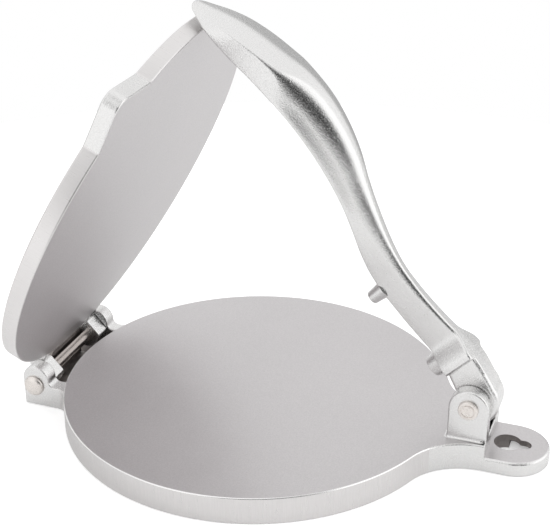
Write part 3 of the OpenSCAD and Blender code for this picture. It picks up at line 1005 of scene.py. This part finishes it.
# where the arm's sections stand, close together at the shoulder's step and at the tip
def sectionPlaces():
    step, tip = lever["stepAt"], lever["length"] - 0.04
    places = [lever["first"], 12, step - 0.6] + [step + 0.15 * i for i in range(-3, 7)]
    start, steps = lever["evenFrom"], lever["evenSteps"]
    run = lever["length"] - lever["evenTo"] - start
    places += [start + run * i / steps for i in range(steps + 1)]
    places += [lever["length"] - lever["tipRun"] * (1 - i / 9) ** 2 for i in range(1, 9)]
    return [u for u in places if u < tip] + [tip]


def buildArm():
    rings = []
    for u in sectionPlaces():
        points = leverSection(u)
        ring = points + [(-x, v) for x, v in reversed(points[1:-1])]
        rings.append([inLever(x * mm, u * mm, v * mm) for x, v in ring])
    return skinned("leverCasting", rings)


# the head's outline from the side
def headSide():
    lower = arc((0, 0), lever["eye"] * mm, 210, 340, 16)
    ahead = [(u * mm, v * mm) for u, v in lever["headTop"]]
    return lower + ahead + arc((0, 0), lever["heel"] * mm, 95, 182, 14)


def nub(u, d):
    low, high, r = lever["nubLow"] * mm, lever["nubHigh"] * mm, lever["nubRound"] * mm
    root = d / 2 + lever["nubDraft"] * mm
    profile = [(0, low), (d / 2 - r, low), (d / 2, low + r), (root, high), (0, high)]

    def place(a, b, h):
        return inLever(a, u + b, h)
    return lathe("nub", profile, place, 40)


def buildLever():
    arm = buildArm()
    print("lever arm done", flush=True)
    half, r = lever["headHalf"] * mm, lever["headRound"] * mm
    head = stack("head", headSide(), levels(-half, half, r, r, 5), leverSideways)
    nubs = [nub(u * mm, d * mm) for u, d in lever["nubs"]]
    combine(arm, [head] + nubs, "UNION")
    cut = lathe("bore", bore(base["borePin"], base["borePinHalf"]), alongPivot)
    return combine(arm, [cut], "DIFFERENCE")


rod = {
    "half": 37.7 * mm,
    "radius": 3 * mm,
    "head": 5.5 * mm,
    "headHigh": 2.2 * mm,
    "brim": 0.5 * mm,
    "brimIn": 0.3 * mm,
    "brimLow": 0.25 * mm,
    "domePower": 0.8,
}


# half of a pin's profile, with the other half as its mirror image
def mirrored(side):
    return [(r, -h) for r, h in reversed(side)] + side


def rodProfile():
    half, head, brim = rod["half"], rod["head"], rod["brim"]
    high, power = rod["headHigh"], rod["domePower"]
    side = [(rod["radius"], half), (head - rod["brimIn"], half), (head, half + rod["brimLow"])]
    for a in quarterTurn(8)[:-1]:
        side.append((head * math.cos(a) ** power, half + brim + (high - brim) * math.sin(a)))
    return mirrored(side + [(0, half + high)])


pin = {
    "half": 15 * mm,
    "radius": 3 * mm,
    "head": 4.9 * mm,
    "headHigh": 1.4 * mm,
    "lowRound": 0.2 * mm,
    # how far in from the head's side and down from its top
    "topRound": [(0, 0.4 * mm), (0.15 * mm, 0.1 * mm), (0.4 * mm, 0)],
    "ringOut": 3.43 * mm,
    "ringIn": 2.93 * mm,
    "ringDeep": 0.3 * mm,
    "ringDraft": 0.1 * mm,
    "punchEnd": 16.4 * mm,
    "punchRadius": 0.8 * mm,
    "punchDeep": 0.6 * mm,
    "punchApart": 1.7 * mm,
}


def pinProfile():
    half, head, top = pin["half"], pin["head"], pin["half"] + pin["headHigh"]
    outer, inner, draft = pin["ringOut"], pin["ringIn"], pin["ringDraft"]
    floor = top - pin["ringDeep"]
    side = [(pin["radius"], half), (head - pin["lowRound"], half), (head, half + pin["lowRound"])]
    side += [(head - across, top - down) for across, down in pin["topRound"]]
    side += [(outer, top), (outer - draft, floor), (inner + draft, floor), (inner, top), (0, top)]
    return mirrored(side)


# a cone that leaves a punch mark on a head, above or below the pin's middle
def punchMark(end, lift):
    deep = pin["punchDeep"]

    def place(a, b, h):
        return alongPivot(a, b + lift, end + h)
    return lathe("punchMark", [(0, -deep), (pin["punchRadius"], 0), (0, deep)], place, 24)


def buildPin():
    end, apart = pin["punchEnd"], pin["punchApart"]
    marks = [punchMark(x, lift) for x in (-end, end) for lift in (-apart, apart)]
    return combine(lathe("leverPin", pinProfile(), alongPivot), marks, "DIFFERENCE")


painting = {
    "flat": 0.9,  # a normal this upright belongs to a level face
    "faceReach": 101 * mm,
    "baseFace": (14.1 * mm, 15.3 * mm),
    "plateFace": (13.3 * mm, 14.6 * mm),
    "sideReach": (60 * mm, 103 * mm),
    "edgeLow": 13.3 * mm,
    "edgeSlope": (0.2, 0.95),
    "boreReach": 13.6 * mm,
    "boreDown": 0.05 * mm,
    "boreSlope": 0.7,
    "bayReach": 99.5 * mm,
    "bayEar": 0.2 * mm,
    "bayWall": 0.3 * mm,
    "baySlope": 0.5,
    "shelfSlack": 0.5 * mm,
}


# the bay between the hinge ears, whose faces are painted dark as painted shade
def inBay(middle, normal, away):
    slope = painting["baySlope"]
    inside = abs(middle.x) < base["earIn"] - painting["bayEar"] and away > painting["bayReach"]
    level = middle.z > size["overlap"] and 0 < middle.y < base["wallBack"] - painting["bayWall"]
    return inside and level and normal.z > -slope and normal.y < slope


# the keyhole's walls and the tab's hollow, which are painted darker as painted shade
def inBore(middle, normal):
    near = math.hypot(middle.x, middle.y - base["tabY"]) < painting["boreReach"]
    below = middle.z < base["tabHeight"] - painting["boreDown"]
    return near and below and normal.z < painting["boreSlope"]


def onSide(normal, away):
    inner, outer = painting["sideReach"]
    return abs(normal.z) < painting["flat"] and inner < away < outer


def onFace(middle, normal, away, band):
    low, high = painting[band]
    return abs(normal.z) > painting["flat"] and low < middle.z < high and away < painting["faceReach"]


def baseFinish(middle, normal, away):
    inner, outer = painting["sideReach"]
    gentle, steep = painting["edgeSlope"]
    if inBore(middle, normal):
        return "bore"
    # the bay's faces get painted shade, all but the ledge's top
    if inBay(middle, normal, away):
        shelf = normal.z > 0.5 and abs(middle.z - base["ledgeTop"]) < painting["shelfSlack"]
        return "shelf" if shelf else "deep"
    if onFace(middle, normal, away, "baseFace"):
        return "ground"
    if normal.z > painting["flat"] and middle.y < base["neckEnd"]:
        return "ground"
    # the rounding along the base's upper edge gets a painted highlight
    if middle.z > painting["edgeLow"] and gentle < abs(normal.z) < steep and inner < away < outer:
        return "edge"
    return "side" if onSide(normal, away) else "cast"


def plateFinish(middle, normal, away):
    if onFace(middle, normal, away, "plateFace"):
        return "ground"
    return "side" if onSide(normal, away) else "cast"


# gives each face its finish, judged with the plate shut; on the base these include painted shade and a
# painted highlight
def paint(thing, node):
    mesh = thing.data
    mesh.materials.clear()
    for material in materials[node].values():
        mesh.materials.append(material)
    order = list(materials[node])
    shut = Matrix.Identity(4)
    if node == "top_plate":
        about = Matrix.Translation((0, size["hingeY"], size["hingeZ"]))
        shut = about @ Matrix.Rotation(size["plateOpen"], 4, "X") @ about.inverted()
    for face in mesh.polygons:
        middle = shut @ face.center
        normal = shut.to_3x3() @ face.normal
        away = math.hypot(middle.x, middle.y)
        finish = order[0]
        if node == "base":
            finish = baseFinish(middle, normal, away)
        elif node == "top_plate":
            finish = plateFinish(middle, normal, away)
        elif node == "hinge_rod" and abs(middle.x) < base["earOut"]:
            finish = "shaft"
        face.material_index = order.index(finish)


pieces = {
    "base": buildBase(),
    "top_plate": buildPlate(),
    "lever": buildLever(),
    "hinge_rod": lathe("hingeRod", rodProfile(), alongHinge),
    "lever_pin": buildPin(),
}
print("shapes done", flush=True)
rides = {"base": "base", "top_plate": "top_plate", "lever": "lever", "hinge_rod": "hinge_rod",
         "lever_pin": "base"}
for node, piece in pieces.items():
    finishSurface(piece)
    paint(piece, node)
    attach(piece, rides[node])
    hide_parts(node)
    print(node, len(piece.data.polygons), "faces", flush=True)


camera = {
    "around": math.radians(-69.636),
    "above": math.radians(25.662),
    "roll": math.radians(-0.283),
    "place": (-0.5278, -0.2060, 0.3558),
    "lens": 82.85,
    "sensor": 36,
}


def aimCamera():
    around, above, roll = camera["around"], camera["above"], camera["roll"]
    level = math.cos(above)
    back = Vector((math.sin(around) * level, -math.cos(around) * level, math.sin(above)))
    across = (-back).cross(Vector((0, 0, 1))).normalized()
    up = across.cross(-back)
    x = math.cos(roll) * across + math.sin(roll) * up
    y = math.cos(roll) * up - math.sin(roll) * across
    lens = bpy.data.cameras.new("camera")
    lens.lens = camera["lens"]
    lens.sensor_width = camera["sensor"]
    holder = bpy.data.objects.new("camera", lens)
    bpy.context.collection.objects.link(holder)
    rows = [(x[i], y[i], back[i], camera["place"][i]) for i in range(3)]
    holder.matrix_world = Matrix(rows + [(0, 0, 0, 1)])
    bpy.context.scene.camera = holder


studio = {
    "top": 1.06,  # levels of light overhead, level with the eye and from below
    "horizon": 0.69,
    "under": 1.05,
    "topFrom": 0.5,  # heights of direction at which the levels are reached
    "underFrom": -0.3,
    "background": 1.0,
    "floorRadius": 0.5,
    "floorThick": 0.01,
    "floorGap": 0.0002,
    "floorColour": (0.82, 0.82, 0.82, 1),
    "floorRough": 0.9,
    "floorLift": 0.35,
    # soft-edged parts of the room: direction, full within, gone beyond (degrees), level
    "parts": [
        ((0.15, -0.95, 0.22), 35, 44, 1.35),
        ((-0.93, 0.35, 0.0), 18, 32, 1.2),
        ((-0.26, -0.42, 0.87), 9, 18, 0.4),
        ((0.99, -0.05, 0.0), 16, 30, 0.5),
        ((-0.87, -0.45, 0.08), 25, 38, 0.05),
    ],
    "lamps": [
        {"name": "key", "place": (0.25, -0.95, 0.8), "width": 0.6, "power": 3},
        {"name": "left", "place": (-1.1, -0.1, 1.0), "width": 0.6, "power": 5.5},
    ],
}


def buildFloor():
    disc = arc((0, 0), studio["floorRadius"], 0, 360, 96)[:-1]
    floor = stack("floor", disc, [(0, -studio["floorThick"]), (0, -studio["floorGap"])])
    material = bpy.data.materials.new("floor")
    material.use_nodes = True
    tree = material.node_tree
    shader = tree.nodes["Principled BSDF"]
    shader.inputs["Base Color"].default_value = studio["floorColour"]
    shader.inputs["Roughness"].default_value = studio["floorRough"]
    shader.inputs["Specular IOR Level"].default_value = 0
    shader.inputs["Emission Color"].default_value = (1, 1, 1, 1)
    seen = tree.nodes.new("ShaderNodeLightPath").outputs["Is Camera Ray"]
    lifted = maths(tree, "MULTIPLY", seen, studio["floorLift"])
    tree.links.new(lifted, shader.inputs["Emission Strength"])
    floor.data.materials.append(material)


# white to the camera, and to everything else a soft room with bright and dark parts
def buildWorld():
    world = bpy.data.worlds.new("studio")
    bpy.context.scene.world = world
    world.use_nodes = True
    tree = world.node_tree
    shader = tree.nodes["Background"]
    direction = tree.nodes.new("ShaderNodeTexCoord").outputs["Generated"]
    up = nodeIn(tree, "ShaderNodeSeparateXYZ", {}, Vector=direction).outputs["Z"]
    level = spread(tree, up, 0.0, studio["topFrom"], studio["horizon"], studio["top"])
    lift = spread(tree, up, studio["underFrom"], 0.0, studio["under"] - studio["horizon"], 0.0)
    level = maths(tree, "ADD", level, lift)
    for towards, full, gone, strength in studio["parts"]:
        axis = tuple(Vector(towards).normalized())
        near = nodeIn(tree, "ShaderNodeVectorMath", {"operation": "DOT_PRODUCT"}, _0=direction,
                      _1=axis).outputs["Value"]
        part = spread(tree, near, math.cos(math.radians(gone)), math.cos(math.radians(full)), 0.0, 1.0)
        level = nodeIn(tree, "ShaderNodeMix", {}, _0=part, _2=level, _3=strength).outputs[0]
    seen = tree.nodes.new("ShaderNodeLightPath").outputs["Is Camera Ray"]
    level = nodeIn(tree, "ShaderNodeMix", {}, _0=seen, _2=level, _3=studio["background"]).outputs[0]
    shader.inputs["Color"].default_value = (1, 1, 1, 1)
    tree.links.new(level, shader.inputs["Strength"])


# lamps that light the floor and the object but don't show in the metal
def buildLamps():
    for lamp in studio["lamps"]:
        light = bpy.data.lights.new(lamp["name"], "AREA")
        light.size = lamp["width"]
        light.energy = lamp["power"]
        holder = bpy.data.objects.new(lamp["name"], light)
        bpy.context.collection.objects.link(holder)
        place = Vector(lamp["place"])
        holder.location = place
        holder.rotation_euler = (-place).to_track_quat("-Z", "Y").to_euler()
        holder.visible_glossy = False
        holder.visible_camera = False


aimCamera()
bpy.context.scene.view_settings.view_transform = "Standard"
buildFloor()
buildWorld()
buildLamps()
print("studio done", flush=True)
